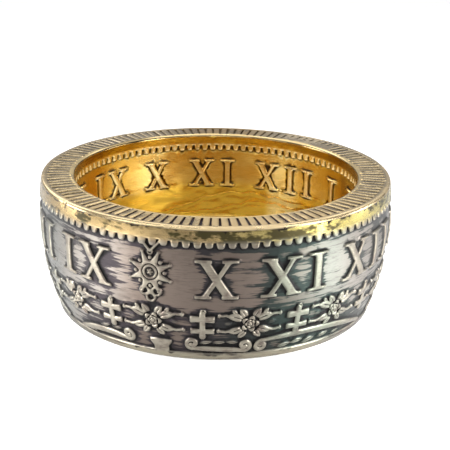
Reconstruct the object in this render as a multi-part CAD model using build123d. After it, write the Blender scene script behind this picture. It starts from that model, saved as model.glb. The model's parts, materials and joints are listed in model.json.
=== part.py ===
"""A finger ring folded from a silver coin, standing on its narrow end.

The wide end, up, is the coin's reeded rim. Below it, outside and inside, run
a plain rim band, a row of small teeth and a field with raised ornament. The
ring is one solid, as the real one is. Millimetres, +Z up along the ring's
axis, origin at the centre of the plane that the ring stands on.
"""
import os
from math import atan2, cos, degrees, pi, radians, sin, sqrt

from build123d import *
from build123d.topology import SkipClean

# Bore and wall
bore_r = 9.5            # finger hollow, at its lands
rim_wall = 2.35         # wall at its widest place, the thickness of the coin's rim
foot_wall = 1.33        # wall at the top of the foot lip
relief = 0.16           # height of the ornament over the field, outside
inner_relief = 0.15     # the same, inside
reed_edge = 0.30        # rounding at the outer edge of the reeded face
bore_edge = 0.26        # rounding at the ends of the bore
foot_edge = 0.36        # rounding under the foot lip
step = 0.06             # slope of the step between a land and the field

# Heights of the bands, from the foot up
lip_h = 0.60
scroll_h = 1.05
scroll_gap = 0.10
chain_h = 2.00
chain_gap = 0.75
cap_h = 2.50
legend_gap = 0.70
tooth_h = 0.55
rim_h = 0.73
belly_share = 0.78      # the wall is widest this far up the legend, as a share of its height

# Reeds across the wide end
reed_count = 120
reed_w = 0.14
reed_depth = 0.13
reed_in = 0.42          # plain edge left at the bore
reed_out = 0.45         # plain edge left outside

# Teeth of the two rims: the slots between them
outer_teeth = 108
outer_slot_top = 0.17
outer_slot_foot = 0.40
inner_teeth = 104
inner_slot_top = 0.17
inner_slot_foot = 0.26
slot_bite = 0.02        # how far a slot runs past its band

# Numerals
NUMERALS = ("I", "II", "III", "IV", "V", "VI", "VII", "VIII", "IX", "X", "XI", "XII")
stroke_w = 0.50
thin_w = 0.28
serif_t = 0.22
serif_share = 2.0       # length of a serif at the end of a slanted stroke, over the stroke's width
i_width = 1.40
v_width = 2.50
x_width = 2.60
letter_gap = 0.48
inner_cap_h = 2.10
inner_stroke_w = 0.42
inner_thin_w = 0.26
inner_serif_t = 0.18
inner_i_width = 1.15
inner_v_width = 1.90
inner_x_width = 2.00
inner_letter_gap = 0.35
inner_first = 128.0     # angle where the inner round of numerals starts, in degrees
inner_land_h = 2.55     # plain land at the foot of the bore

# Star that hangs in the legend
star_angle = -109.0
star_r = 1.35
star_body_r = 0.62
star_points = 8
star_drop = 1.00        # centre of the star below the top of the legend
hanger_bar = 0.20
hanger_spread = 1.50
bow_r = 0.36
bow_sides = 3           # half the corners of each loop
bow_spread = 0.30       # middle of each loop of the bow from the middle of the knot
bow_drop = 2.15

# Chain of crosses and rosettes
chain_links = 12
cross_angle = -93.5
rosette_angle = -109.0
cross_w = 1.45
cross_bar = 0.42
cross_low_bar = 0.34
cross_stem = 0.40
cross_bar_y = 0.36      # middle of the upper bar above the middle of the chain
cross_low_bar_y = -0.48
rosette_r = 0.52
petal_count = 6
petal_h = 0.16          # how deep the notches between petals are
leaf_length = 1.40
leaf_w = 0.42
leaf_rise = 24.0        # slope of a long leaf, in degrees
leaf_root = 0.08        # how far a leaf starts inside the notches of its rosette
short_leaf_length = 0.76
short_leaf_w = 0.36
short_leaf_rise = 66.0

# Scroll border, three times round
scroll_repeats = 3
scroll_bar = 0.30
curl_r = 0.40
curl_sides = 4          # half the corners of a curl
SCROLLS = (
    # angle of the middle, half the length, shares of scroll_h: left end, middle, right end, curls
    dict(angle=-128.5, half=2.15, left=0.12, middle=0.52, right=0.62, curl_left=None, curl_right=0.68),
    dict(angle=-88.5, half=1.75, left=0.50, middle=0.44, right=0.40, curl_left=0.66, curl_right=0.42),
    dict(angle=-53.5, half=4.20, left=0.60, middle=0.85, right=0.14, curl_left=0.34, curl_right=None),
)
plate_angle = -107.0
plate_w = 1.15
plate_h = 0.80

# How far the ornament is rooted in the wall, and how far its blanks stand off it
root = 0.10
clear = 0.60

# Sizes that follow from these
scroll_z = lip_h
chain_z = scroll_z + scroll_h + scroll_gap
legend_z = chain_z + chain_h + chain_gap
field_top = legend_z + cap_h + legend_gap
tooth_top = field_top + tooth_h
height = tooth_top + rim_h
belly_r = bore_r + rim_wall
belly_z = legend_z + belly_share * cap_h
foot_r = bore_r + foot_wall
drop = belly_r - foot_r
arc_r = ((belly_z - lip_h) ** 2 + drop ** 2) / (2 * drop)
arc_x = belly_r - arc_r
inner_field_r = bore_r + inner_relief
chain_mid = chain_z + chain_h / 2
leaf_start = rosette_r - petal_h - leaf_root
scroll_top = chain_z - scroll_gap / 2
legend_foot = legend_z - chain_gap / 2
legend_mid = legend_z + cap_h / 2
inner_legend_mid = field_top - legend_gap - inner_cap_h / 2


def wall_r(z, inset=0.0):
    """Radius of the barrel-shaped wall at a height, inset from its outer land.

    The barrel is an arc about a far centre. Each band of it is straight between its edges.
    """
    return arc_x + sqrt(arc_r ** 2 - (z - belly_z) ** 2) - inset


def at(r, z):
    """A point of the section."""
    return (r, 0, z)


def wall_line(heights, inset=0.0):
    """The wall's outline through the given heights."""
    return [at(wall_r(z, inset), z) for z in heights]


def corner(start, end, centre, radius):
    """A rounded corner from start to end about a centre."""
    mid_x = (start[0] + end[0]) / 2 - centre[0]
    mid_z = (start[1] + end[1]) / 2 - centre[1]
    reach = radius / sqrt(mid_x ** 2 + mid_z ** 2)
    return ThreePointArc(
        at(*start), at(centre[0] + mid_x * reach, centre[1] + mid_z * reach), at(*end)
    )


def turned(edges):
    """The solid that a closed outline sweeps about the axis."""
    return revolve(make_face(Curve() + edges), Axis.Z)


def ring_body():
    """The ring without its reeds, slots and ornament."""
    foot_out = wall_r(foot_edge)
    rim_out = wall_r(height - reed_edge)
    low = lip_h - step
    high = field_top + step
    outside = [
        Line(at(bore_r + bore_edge, 0), at(foot_out - foot_edge, 0)),
        corner((foot_out - foot_edge, 0), (foot_out, foot_edge), (foot_out - foot_edge, foot_edge), foot_edge),
        Polyline(
            wall_line((foot_edge, low))
            + wall_line((scroll_z, scroll_top, legend_foot, field_top), relief)
            + wall_line((high, height - reed_edge))
        ),
        corner(
            (rim_out, height - reed_edge), (rim_out - reed_edge, height),
            (rim_out - reed_edge, height - reed_edge), reed_edge,
        ),
    ]
    inside = [
        Line(at(rim_out - reed_edge, height), at(bore_r + bore_edge, height)),
        corner(
            (bore_r + bore_edge, height), (bore_r, height - bore_edge),
            (bore_r + bore_edge, height - bore_edge), bore_edge,
        ),
        Polyline(
            at(bore_r, height - bore_edge), at(bore_r, high), at(inner_field_r, field_top),
            at(inner_field_r, inner_land_h + step), at(bore_r, inner_land_h), at(bore_r, bore_edge),
        ),
        corner((bore_r, bore_edge), (bore_r + bore_edge, 0), (bore_r + bore_edge, bore_edge), bore_edge),
    ]
    return turned(outside + inside)


def outer_layer(low, high):
    """The skin that holds the ornament of one outer band, rooted in the wall."""
    outline = wall_line((low, high)) + wall_line((high, low), relief + root)
    return turned([Polyline(*outline, outline[0])])


def inner_layer():
    """The skin that holds the inner ornament."""
    corners = (
        at(bore_r, inner_land_h), at(inner_field_r + root, inner_land_h),
        at(inner_field_r + root, field_top), at(bore_r, field_top),
    )
    return turned([Polyline(*corners, corners[0])])


def facing_out(angle, z):
    """Plane outside the wall, looking out, with its x to the right and its y up."""
    a = radians(angle)
    r = belly_r + clear
    return Plane((r * cos(a), r * sin(a), z), x_dir=(-sin(a), cos(a), 0), z_dir=(cos(a), sin(a), 0))


def facing_in(angle, z):
    """Plane inside the bore, looking in, with its x to the right and its y up."""
    a = radians(angle)
    r = bore_r - clear
    return Plane((r * cos(a), r * sin(a), z), x_dir=(sin(a), -cos(a), 0), z_dir=(-cos(a), -sin(a), 0))


def blank(sketch, plane):
    """A flat shape carried through the wall, square to a plane."""
    depth = rim_wall + 2 * clear + inner_relief
    return [plane.location * solid for solid in extrude(sketch, -depth).solids()]


def reeds():
    """Blocks that cut the reeds into the wide end, laid along the radii."""
    inner = bore_r + reed_in
    outer = wall_r(height - reed_edge) - reed_out
    block = Pos((inner + outer) / 2, 0, height + (clear - reed_depth) / 2)
    block *= Box(outer - inner, reed_w, reed_depth + clear)
    return [Rot(0, 0, 360 * k / reed_count) * block for k in range(reed_count)]


def slots(count, foot_width, top_width, inner, outer):
    """Tapered slots between the teeth of a rim, wide end down."""
    low = field_top - slot_bite
    high = tooth_top
    outline = Polyline(
        (-foot_width / 2, low), (foot_width / 2, low), (top_width / 2, high), (-top_width / 2, high),
        close=True,
    )
    cutter = extrude(Plane.YZ * make_face(outline), outer - inner)
    return [Rot(0, 0, 360 * k / count) * Pos(inner, 0, 0) * cutter for k in range(count)]


def bar_between(p, q, width):
    """A straight stroke with square ends."""
    run = sqrt((q[0] - p[0]) ** 2 + (q[1] - p[1]) ** 2)
    turn = degrees(atan2(q[1] - p[1], q[0] - p[0]))
    return Pos((p[0] + q[0]) / 2, (p[1] + q[1]) / 2) * Rot(0, 0, turn) * Rectangle(run, width)


def pointed_round(points, tip_r, notch_r):
    """A star or flower outline with its corners at two radii in turn."""
    corners = []
    for k in range(2 * points):
        a = pi * k / points
        reach = notch_r if k % 2 else tip_r
        corners.append((reach * cos(a), reach * sin(a)))
    return make_face(Polyline(*corners, close=True))


def diamond(length, width):
    """A pointed leaf."""
    corners = ((length / 2, 0), (0, width / 2), (-length / 2, 0), (0, -width / 2))
    return make_face(Polyline(*corners, close=True))


def leg(x0, y0, x1, y1, width):
    """A slanted stroke whose ends lie level, as a numeral's legs do."""
    half = width / 2
    return make_face(Polyline(
        (x0 - half, y0), (x0 + half, y0), (x1 + half, y1), (x1 - half, y1), close=True
    ))


def serif(x, y, length, thickness):
    """A level foot or head of a stroke."""
    return Pos(x, y) * Rectangle(length, thickness)


def glyphs(cap, stroke, thin, serif_thick, widths):
    """The three numeral letters, centred, as flat shapes."""
    top = cap / 2
    edge = top - serif_thick / 2
    short = stroke * serif_share
    one = Rectangle(stroke, cap) + serif(0, edge, widths["I"], serif_thick)
    one += serif(0, -edge, widths["I"], serif_thick)
    reach = widths["V"] / 2 - short / 2
    five = leg(-reach, top, 0, -top, stroke) + leg(reach, top, 0, -top, thin)
    five += serif(-reach, edge, short, serif_thick) + serif(reach, edge, short, serif_thick)
    reach = widths["X"] / 2 - short / 2
    ten = leg(-reach, top, reach, -top, stroke) + leg(reach, top, -reach, -top, thin)
    for x in (-reach, reach):
        ten += serif(x, edge, short, serif_thick) + serif(x, -edge, short, serif_thick)
    return {"I": one, "V": five, "X": ten}


def numeral_round(widths, gap, radius, spare):
    """Yield each letter of the round with its angle from the start, in degrees.

    The space between numerals is what the letters leave of the circle, less a spare stretch.
    """
    letters = "".join(NUMERALS)
    inked = sum(widths[letter] for letter in letters) + gap * (len(letters) - len(NUMERALS))
    spaces = len(NUMERALS) + (1 if spare else 0)
    space = (2 * pi * radius - inked - spare) / spaces
    run = spare / 2 + space if spare else space / 2
    for numeral in NUMERALS[9:] + NUMERALS[:9]:
        for letter in numeral:
            yield letter, degrees((run + widths[letter] / 2) / radius)
            run += widths[letter] + gap
        run += space - gap


def outer_numerals():
    """The numerals round the outside, from the star to the star."""
    widths = {"I": i_width, "V": v_width, "X": x_width}
    shapes = glyphs(cap_h, stroke_w, thin_w, serif_t, widths)
    blanks = []
    for letter, turn in numeral_round(widths, letter_gap, belly_r, 2 * star_r):
        blanks += blank(shapes[letter], facing_out(star_angle + turn, legend_mid))
    return blanks


def inner_numerals():
    """The numerals round the inside, read from within."""
    widths = {"I": inner_i_width, "V": inner_v_width, "X": inner_x_width}
    shapes = glyphs(inner_cap_h, inner_stroke_w, inner_thin_w, inner_serif_t, widths)
    blanks = []
    for letter, turn in numeral_round(widths, inner_letter_gap, bore_r, 0.0):
        blanks += blank(shapes[letter], facing_in(inner_first - turn, inner_legend_mid))
    return blanks


def star_pendant():
    """An eight-pointed star on a forked hanger, with a bow below it."""
    star = Rot(0, 0, 180 / star_points) * pointed_round(star_points, star_r, star_body_r)
    top = star_drop + legend_gap
    fork = bar_between((0, star_body_r), (-hanger_spread / 2, top), hanger_bar)
    fork += bar_between((0, star_body_r), (hanger_spread / 2, top), hanger_bar)
    bow_y = star_drop - bow_drop
    loop = pointed_round(bow_sides, bow_r, bow_r)
    bow = Pos(-bow_spread, bow_y) * loop + Pos(bow_spread, bow_y) * loop
    bow += Pos(0, bow_y - bow_r) * loop
    centre = legend_z + cap_h - star_drop
    return blank(star + fork + bow, facing_out(star_angle, centre))


def cross():
    """A cross with two bars."""
    shape = Rectangle(cross_stem, chain_h)
    shape += Pos(0, cross_bar_y) * Rectangle(cross_w, cross_bar)
    shape += Pos(0, cross_low_bar_y) * Rectangle(cross_w, cross_low_bar)
    return shape


def rosette():
    """A round flower with four long leaves that reach for the crosses, and four short ones."""
    shape = pointed_round(petal_count, rosette_r, rosette_r - petal_h)
    leaves = ((leaf_rise, leaf_length, leaf_w), (short_leaf_rise, short_leaf_length, short_leaf_w))
    for steep, length, width in leaves:
        reach = leaf_start + length / 2
        for side in (-1, 1):
            for rise in (-steep, steep):
                middle = Pos(side * reach * cos(radians(rise)), reach * sin(radians(rise)))
                shape += middle * Rot(0, 0, side * rise) * diamond(length, width)
    return shape


def chain():
    """Crosses and rosettes in turn round the wall."""
    cross_shape = cross()
    rosette_shape = rosette()
    blanks = []
    for k in range(chain_links):
        turn = 360 * k / chain_links
        blanks += blank(cross_shape, facing_out(cross_angle + turn, chain_mid))
        blanks += blank(rosette_shape, facing_out(rosette_angle + turn, chain_mid))
    return blanks


def scroll(row):
    """A long bowed bar with a curl at one or both ends."""
    left = (-row["half"], row["left"] * scroll_h)
    middle = (0, row["middle"] * scroll_h)
    right = (row["half"], row["right"] * scroll_h)
    half = scroll_bar / 2
    over = ThreePointArc(*[(x, y + half) for x, y in (left, middle, right)])
    under = ThreePointArc(*[(x, y - half) for x, y in (left, middle, right)])
    ends = Line(over @ 0, under @ 0) + Line(over @ 1, under @ 1)
    shape = make_face(Curve() + [over, under] + ends.edges())
    for x, share in ((left[0], row["curl_left"]), (right[0], row["curl_right"])):
        if share is not None:
            shape += Pos(x, share * scroll_h) * pointed_round(curl_sides, curl_r, curl_r)
    return shape


def scroll_border():
    """The scrolls and the plain plates between them."""
    shapes = [(row["angle"], scroll(row)) for row in SCROLLS]
    shapes.append((plate_angle, Pos(0, plate_h / 2) * Rectangle(plate_w, plate_h + 2 * step)))
    blanks = []
    for k in range(scroll_repeats):
        for angle, shape in shapes:
            blanks += blank(shape, facing_out(angle + 360 * k / scroll_repeats, scroll_z))
    return blanks


def common(layer, blanks):
    """The stretches of the blanks that lie in a layer."""
    pieces = []
    for shape in blanks:
        found = layer.intersect(shape)
        if found:
            pieces += found.solids()
    return pieces


def coin_ring():
    """The whole ring, as one solid. The faces are left unmerged, which keeps the build short."""
    outer_slots = slots(
        outer_teeth, outer_slot_foot, outer_slot_top, wall_r(tooth_top, relief), belly_r + clear
    )
    inner_slots = slots(inner_teeth, inner_slot_foot, inner_slot_top, bore_r - clear, inner_field_r)
    ornament = common(outer_layer(legend_foot, field_top), outer_numerals() + star_pendant())
    ornament += common(outer_layer(scroll_top, legend_foot), chain())
    ornament += common(outer_layer(lip_h - step, scroll_top), scroll_border())
    ornament += common(inner_layer(), inner_numerals())
    with SkipClean():
        body = ring_body().cut(*reeds()).cut(*outer_slots).cut(*inner_slots)
        return body.fuse(*ornament)


ring = coin_ring()
print("height", round(height, 3), "outer diameter", round(2 * belly_r, 3))
print("solids", len(ring.solids()), "faces", len(ring.faces()), "volume", round(ring.volume, 2))
os.makedirs("parts", exist_ok=True)
export_step(ring, "parts/coin_ring.step")
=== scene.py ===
# %% [markdown]
# A finger ring folded from a silver coin. The coin's middle was punched out and its rim
# was folded over a mandrel, so the coin's edge, with its reeds, is now the face of the
# wide end, one side of the coin is the outside and the other side lines the bore.
#
# Everything that shows is one skin of metal with shallow relief, like a map of hills laid
# round a tube. That is why this ring is made as a height map: a closed section is carried
# round the axis on a grid, and each ornament lifts the grid by a formula. Modelling the
# letters and leaves as separate meshes and joining them would leave hard joints that a
# struck coin doesn't have.

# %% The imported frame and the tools
import json

import bpy
import numpy as np
from mathutils import Matrix, Vector


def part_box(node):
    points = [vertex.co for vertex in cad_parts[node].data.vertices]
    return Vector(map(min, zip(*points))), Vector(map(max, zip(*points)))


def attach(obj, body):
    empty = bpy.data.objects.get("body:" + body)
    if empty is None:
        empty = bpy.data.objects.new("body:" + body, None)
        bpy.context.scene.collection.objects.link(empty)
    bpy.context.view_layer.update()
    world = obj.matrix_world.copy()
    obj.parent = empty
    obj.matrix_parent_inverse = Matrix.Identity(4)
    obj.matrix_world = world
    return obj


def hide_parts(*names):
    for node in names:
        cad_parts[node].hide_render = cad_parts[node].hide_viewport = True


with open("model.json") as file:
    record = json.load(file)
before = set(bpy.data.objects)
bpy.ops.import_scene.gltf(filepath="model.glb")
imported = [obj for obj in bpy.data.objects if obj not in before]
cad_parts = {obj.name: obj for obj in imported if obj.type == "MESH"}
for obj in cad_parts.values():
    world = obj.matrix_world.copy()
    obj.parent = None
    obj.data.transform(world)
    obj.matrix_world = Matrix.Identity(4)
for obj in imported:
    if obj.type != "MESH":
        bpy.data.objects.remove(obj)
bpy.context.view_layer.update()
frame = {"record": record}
MM = 0.001
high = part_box("coin_ring")[1]
mounts = {mount["name"]: mount for mount in frame["record"]["mounts"]}
bore_r = mounts["finger_bore"]["dims"]["r_mm"]
height = high.z / MM
print("height", round(height, 3), "bore radius", bore_r)

# %% [markdown]
# The sizes of the ring, in millimetres. The bore and the height come from the frame, and
# the bands are stacked from the top and from the foot as on the coin: a plain rim, a row
# of teeth, a field with the legend, a chain of crosses and rosettes, and the foot lip with
# its scrolls. The wall is widest, like a barrel, part of the way up the legend.

# %% Sizes
rim_wall = 2.35
foot_wall = 1.33
relief = 0.16
inner_relief = 0.15
reed_edge = 0.20
bore_edge = 0.26
foot_edge = 0.36
bore_edge_drop = 0.15
step = 0.06

lip_h = 0.60
chain_h = 2.00
chain_gap = 0.75
cap_h = 2.50
rim_h = 0.73
rim_start = 0.14
tooth_h = 0.55
legend_gap = 0.70
inner_cap_h = 2.10
inner_land_h = 2.55
belly_share = 0.78

tooth_top = height - rim_h
field_end = tooth_top + rim_start
field_top = tooth_top - tooth_h
legend_z = field_top - legend_gap - cap_h
chain_z = legend_z - chain_gap - chain_h
belly_z = legend_z + belly_share * cap_h
belly_r = bore_r + rim_wall
drop = belly_r - (bore_r + foot_wall)
arc_r = ((belly_z - lip_h) ** 2 + drop ** 2) / (2 * drop)
arc_x = belly_r - arc_r
bands = (lip_h, chain_z, legend_z, field_top, tooth_top)
print("bands from the foot:", [round(z, 2) for z in bands])

# %% [markdown]
# The section. It is a closed run of points, first with sharp corners and then rounded by a
# running average along its length, because a struck and polished coin has no sharp corner.
# The barrel of the outer wall is an arc about a centre beyond the axis, and the upper edge
# of the bore is part of an ellipse, flatter than it is wide, as folding left it. The points
# are set closely for the average and thinned to the rows of the grid after it.

# %% The section of the ring
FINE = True
COLUMNS = 2160 if FINE else 1440
ROW_STEP = 0.036 if FINE else 0.055
DENSE = 6000
TAPS = 60
softening = 0.045


def wall_r(z):
    """Radius of the outer wall over its relief: an arc of radius arc_r about (arc_x, belly_z)."""
    return arc_x + np.sqrt(arc_r ** 2 - (z - belly_z) ** 2)


def quarter(centre_r, centre_z, wide, tall, start, end):
    """Points of a corner that is part of an ellipse, between directions in degrees."""
    a = np.radians(np.linspace(start, end, 12))
    return np.stack([centre_r + wide * np.cos(a), centre_z + tall * np.sin(a)], 1)


def wall(z0, z1, inset=0.0):
    """Points up the outer wall."""
    z = np.linspace(z0, z1, 40)
    return np.stack([wall_r(z) - inset, z], 1)


def ring_section():
    """Closed section as (radius, height), evenly spaced, from the bore's foot outwards and up."""
    foot_out = wall_r(foot_edge)
    rim_low = height - reed_edge
    bore_top = height - bore_edge_drop
    field_in = bore_r + inner_relief
    line = np.concatenate([
        [[bore_r + bore_edge, 0]],
        quarter(foot_out - foot_edge, foot_edge, foot_edge, foot_edge, -90, 0),
        wall(foot_edge + 0.02, lip_h - 2 * step),
        wall(lip_h, field_end, relief),
        wall(field_end + step, rim_low),
        quarter(wall_r(rim_low) - reed_edge, rim_low, reed_edge, reed_edge, 0, 90),
        quarter(bore_r + bore_edge, bore_top, bore_edge, bore_edge_drop, 90, 180),
        [[bore_r, field_end + step], [field_in, field_end]],
        [[field_in, inner_land_h + step], [bore_r, inner_land_h]],
        quarter(bore_r + bore_edge, bore_edge, bore_edge, bore_edge, 180, 270),
    ])
    closed = np.vstack([line, line[:1]])
    run = np.concatenate([[0], np.cumsum(np.hypot(*np.diff(closed, axis=0).T))])
    dense = np.linspace(0, run[-1], DENSE + 1)[:-1]
    width = softening / (run[-1] / DENSE)
    kernel = np.exp(-0.5 * (np.arange(-TAPS, TAPS + 1) / width) ** 2)
    kernel /= kernel.sum()
    rows = int(round(run[-1] / ROW_STEP))
    pick = np.linspace(0, DENSE, rows, endpoint=False).astype(int)
    soft = []
    for axis in (0, 1):
        value = np.interp(dense, run, closed[:, axis])
        value = np.concatenate([value[-TAPS:], value, value[:TAPS]])
        soft.append(np.convolve(value, kernel, "valid")[pick])
    return soft


row_r, row_z = ring_section()
ROWS = len(row_r)
tangent = np.stack([np.roll(v, -1) - np.roll(v, 1) for v in (row_r, row_z)], 1)
tangent /= np.linalg.norm(tangent, axis=1, keepdims=True)
row_out = np.stack([tangent[:, 1], -tangent[:, 0]], 1)
theta = np.radians(np.arange(COLUMNS) * 360 / COLUMNS)
on_wall = (row_r > bore_r + 0.9) & (row_z > 0.3) & (row_z < height - reed_edge)
on_bore = (row_r < bore_r + 0.25) & (row_z > bore_edge) & (row_z < height - bore_edge_drop)
push = row_out.copy()
push[on_wall] = np.stack([row_r - arc_x, row_z - belly_z], 1)[on_wall] / arc_r
push[on_bore] = (-1.0, 0.0)
print("grid", ROWS, "rows by", COLUMNS, "columns")

# %% [markdown]
# The height map starts flat. Each side has its own sheet of heights, from 0 at the field to
# 1 at the top of the relief. A motif is a formula for the distance from a point to the
# motif's edge, negative inside it, and a profile turns that distance into a height: steep
# sides with a worn, rounded shoulder for letters, and a dome for beads and leaves.

# %% Distance formulas and relief profiles
def smooth_step(x):
    """0 below 0, 1 above 1, and 3x^2 - 2x^3 between."""
    x = np.clip(x, 0, 1)
    return x * x * (3 - 2 * x)


def capsule(x, y, start, end, r0, r1):
    """Distance to a round-ended stroke whose radius goes from r0 to r1."""
    dx, dy = end[0] - start[0], end[1] - start[1]
    t = np.clip(((x - start[0]) * dx + (y - start[1]) * dy) / (dx * dx + dy * dy + 1e-9), 0, 1)
    return np.hypot(x - start[0] - t * dx, y - start[1] - t * dy) - (r0 + (r1 - r0) * t)


def ribbon(x, y, points, radii):
    """Distance to a stroke along a run of points: the least of its capsules."""
    pairs = zip(points[:-1], points[1:], radii[:-1], radii[1:])
    return np.min([capsule(x, y, p, q, a, b) for p, q, a, b in pairs], axis=0)


def box(x, y, half_w, half_h, round_r=0.0):
    """Distance to a rectangle with rounded corners about the origin."""
    qx, qy = np.abs(x) - half_w + round_r, np.abs(y) - half_h + round_r
    return np.hypot(np.maximum(qx, 0), np.maximum(qy, 0)) + np.minimum(np.maximum(qx, qy), 0) - round_r


def leg(x, y, x0, x1, half_h, width):
    """Distance to a slanted stroke from (x0, top) to (x1, foot), cut level at both ends."""
    slope = (x1 - x0) / (2 * half_h)
    across = (x - x0 - slope * (half_h - y)) / np.hypot(1, slope)
    return np.maximum(np.abs(across) - width / 2, np.abs(y) - half_h)


def blend(a, b, k):
    """Union of two distances with a fillet of about k where they meet."""
    h = np.clip(0.5 + 0.5 * (b - a) / k, 0, 1)
    return b + (a - b) * h - k * h * (1 - h)


def struck(d, slope=0.10):
    """Height of a letter: flat and worn on top, with steep sides and a soft foot."""
    return smooth_step((0.035 - d) / slope) * (1 - 0.05 * smooth_step((d + 0.14) / 0.09))


def domed(d, width):
    """Height of a bead or leaf: a quarter circle from its edge inwards, with a soft foot."""
    t = np.clip(-d / width, 0, 1)
    return np.sqrt(np.clip(1 - (1 - t) ** 2, 0, 1)) * smooth_step((0.03 - d) / 0.05)


def worn_dome(d):
    """Height of a leaf or scroll: steep sides, and a top that is only a little rounded."""
    return struck(d, 0.09) * (0.80 + 0.20 * domed(d, 0.20))


def turn_from(angle):
    """Each column's angle from one in degrees, between minus and plus half a turn."""
    return (theta - np.radians(angle) + np.pi) % (2 * np.pi) - np.pi


def stamp(sheet, rows, motif, angle, z, reach_x, reach_z, inward=False):
    """Lift one stretch of a sheet by a motif centred at an angle in degrees and a height."""
    near = np.nonzero(rows & (np.abs(row_z - z) < reach_z))[0]
    turn = turn_from(angle)
    across = np.nonzero(np.abs(turn) < reach_x / row_r[near].mean())[0]
    x = row_r[near][:, None] * turn[across][None, :] * (-1 if inward else 1)
    y = np.repeat(row_z[near][:, None] - z, len(across), axis=1)
    window = np.ix_(near, across)
    sheet[window] = np.maximum(sheet[window], motif(x, y))


outside = np.zeros((ROWS, COLUMNS))
inside = np.zeros((ROWS, COLUMNS))

# %% [markdown]
# The numerals. Roman numerals as on a clock dial run round the legend, outside and inside,
# because plain dial numbers say nothing about any maker. Three letters make them all, each
# a union of strokes and serifs with small fillets, like letters cut into a coin's die. The
# space between numerals is what the letters leave of the circle.

# %% Numerals
NUMERALS = ("I", "II", "III", "IV", "V", "VI", "VII", "VIII", "IX", "X", "XI", "XII")
star_angle = -109.0
star_r = 1.35
inner_first = 128.0


def letter_shape(letter, style):
    """Formula of one letter, centred: stems and legs joined to serifs."""
    stroke, thin, serif = style["stroke"], style["thin"], style["serif"]
    width = style["widths"][letter]
    half = style["cap"] / 2
    foot = half - serif / 2
    side = width / 2 - stroke
    met = 0.0 if letter == "V" else side
    edges = (foot,) if letter == "V" else (-foot, foot)

    def shape(x, y):
        if letter == "I":
            d = box(x, y, stroke / 2, half)
            for edge in edges:
                d = blend(d, box(x, y - edge, width / 2, serif / 2, 0.05), 0.16)
        else:
            thick_leg = leg(x, y, -side, met, half, stroke)
            d = np.minimum(thick_leg, leg(x, y, side, -met, half, thin))
            for end in (-side, side):
                for edge in edges:
                    d = blend(d, box(x - end, y - edge, stroke, serif / 2, 0.05), 0.12)
        return struck(np.maximum(d, np.abs(y) - half), 0.075)

    return shape


def numeral_round(sheet, rows, first, z, radius, style, spare, inward):
    """Stamp the round of numerals from an angle on, leaving a spare stretch at the start."""
    widths, gap, room = style["widths"], style["gap"], 0.2
    letters = "".join(NUMERALS)
    inked = sum(widths[c] for c in letters) + gap * (len(letters) - len(NUMERALS))
    space = (2 * np.pi * radius - inked - spare) / (len(NUMERALS) + (1 if spare else 0))
    run = spare / 2 + space if spare else space / 2
    for numeral in NUMERALS[9:] + NUMERALS[:9]:
        for c in numeral:
            turn = np.degrees((run + widths[c] / 2) / radius)
            angle = first - turn if inward else first + turn
            reach = (widths[c] / 2 + room, style["cap"] / 2 + room)
            stamp(sheet, rows, letter_shape(c, style), angle, z, *reach, inward)
            run += widths[c] + gap
        run += space - gap
    return space


OUTER_STYLE = dict(cap=cap_h, stroke=0.50, thin=0.28, serif=0.20, gap=0.48,
                   widths={"I": 1.40, "V": 2.50, "X": 2.60})
INNER_STYLE = dict(cap=inner_cap_h, stroke=0.42, thin=0.26, serif=0.17, gap=0.35,
                   widths={"I": 1.15, "V": 1.90, "X": 2.00})
outer_mid = legend_z + cap_h / 2
inner_mid = field_top - legend_gap - inner_cap_h / 2
space_out = numeral_round(outside, on_wall, star_angle, outer_mid, belly_r,
                          OUTER_STYLE, 2 * star_r, False)
space_in = numeral_round(inside, on_bore, inner_first, inner_mid, bore_r,
                         INNER_STYLE, 0.0, True)
print("space between numerals", round(space_out, 2), "outside and", round(space_in, 2), "inside")

# %% [markdown]
# The star that hangs in the legend. Each of its eight rays is a tapering stroke with a
# small ball on its tip, with two beads between each pair of rays, and a flower of five
# petals sits in a raised ring at the middle. It hangs by a forked link, with a bow of
# three loops below it. On the real ring it is a finer openwork than this relief.

# %% Star, link and bow
star_z = legend_z + cap_h - 1.0


def star(x, y):
    """Eight tapering rays with balls on their tips, beads between them, and a flower in a ring."""
    lift = np.zeros_like(x)
    for k in range(8):
        a = np.radians(22.5 + 45 * k)
        b = a + np.pi / 8
        tip = (star_r * np.cos(a), star_r * np.sin(a))
        ray = capsule(x, y, (0, 0), tip, 0.42, 0.055)
        ball = np.hypot(x - tip[0], y - tip[1]) - 0.105
        beads = [np.hypot(x - out * np.cos(b), y - out * np.sin(b)) - size
                 for out, size in ((0.90, 0.15), (0.62, 0.13))]
        lift = np.maximum(lift, np.maximum(0.85 * worn_dome(ray), worn_dome(ball)))
        lift = np.maximum(lift, 0.85 * domed(np.min(beads, axis=0), 0.14))
    middle = np.hypot(x, y)
    lift *= 1 - 0.6 * np.exp(-((middle - 0.49) / 0.04) ** 2)
    rim = np.abs(middle - 0.39) - 0.075
    lift = np.where(middle < 0.37, 0.45, lift)
    petals = middle - 0.17 - 0.05 * np.cos(5 * np.arctan2(y, x))
    return np.maximum(np.maximum(lift, struck(rim, 0.07)), domed(petals, 0.12))


def link(x, y):
    """The two bars of the fork and the eye where they meet."""
    left = ribbon(x, y, [(0, -0.25), (-0.34, 0.10), (-0.78, 0.62)], [0.10, 0.09, 0.10])
    right = ribbon(x, y, [(0, -0.25), (0.34, 0.10), (0.78, 0.62)], [0.10, 0.09, 0.10])
    eye = np.abs(np.hypot(x, y + 0.30) - 0.15) - 0.06
    return 0.9 * domed(np.minimum(np.minimum(left, right), eye), 0.09)


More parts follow.
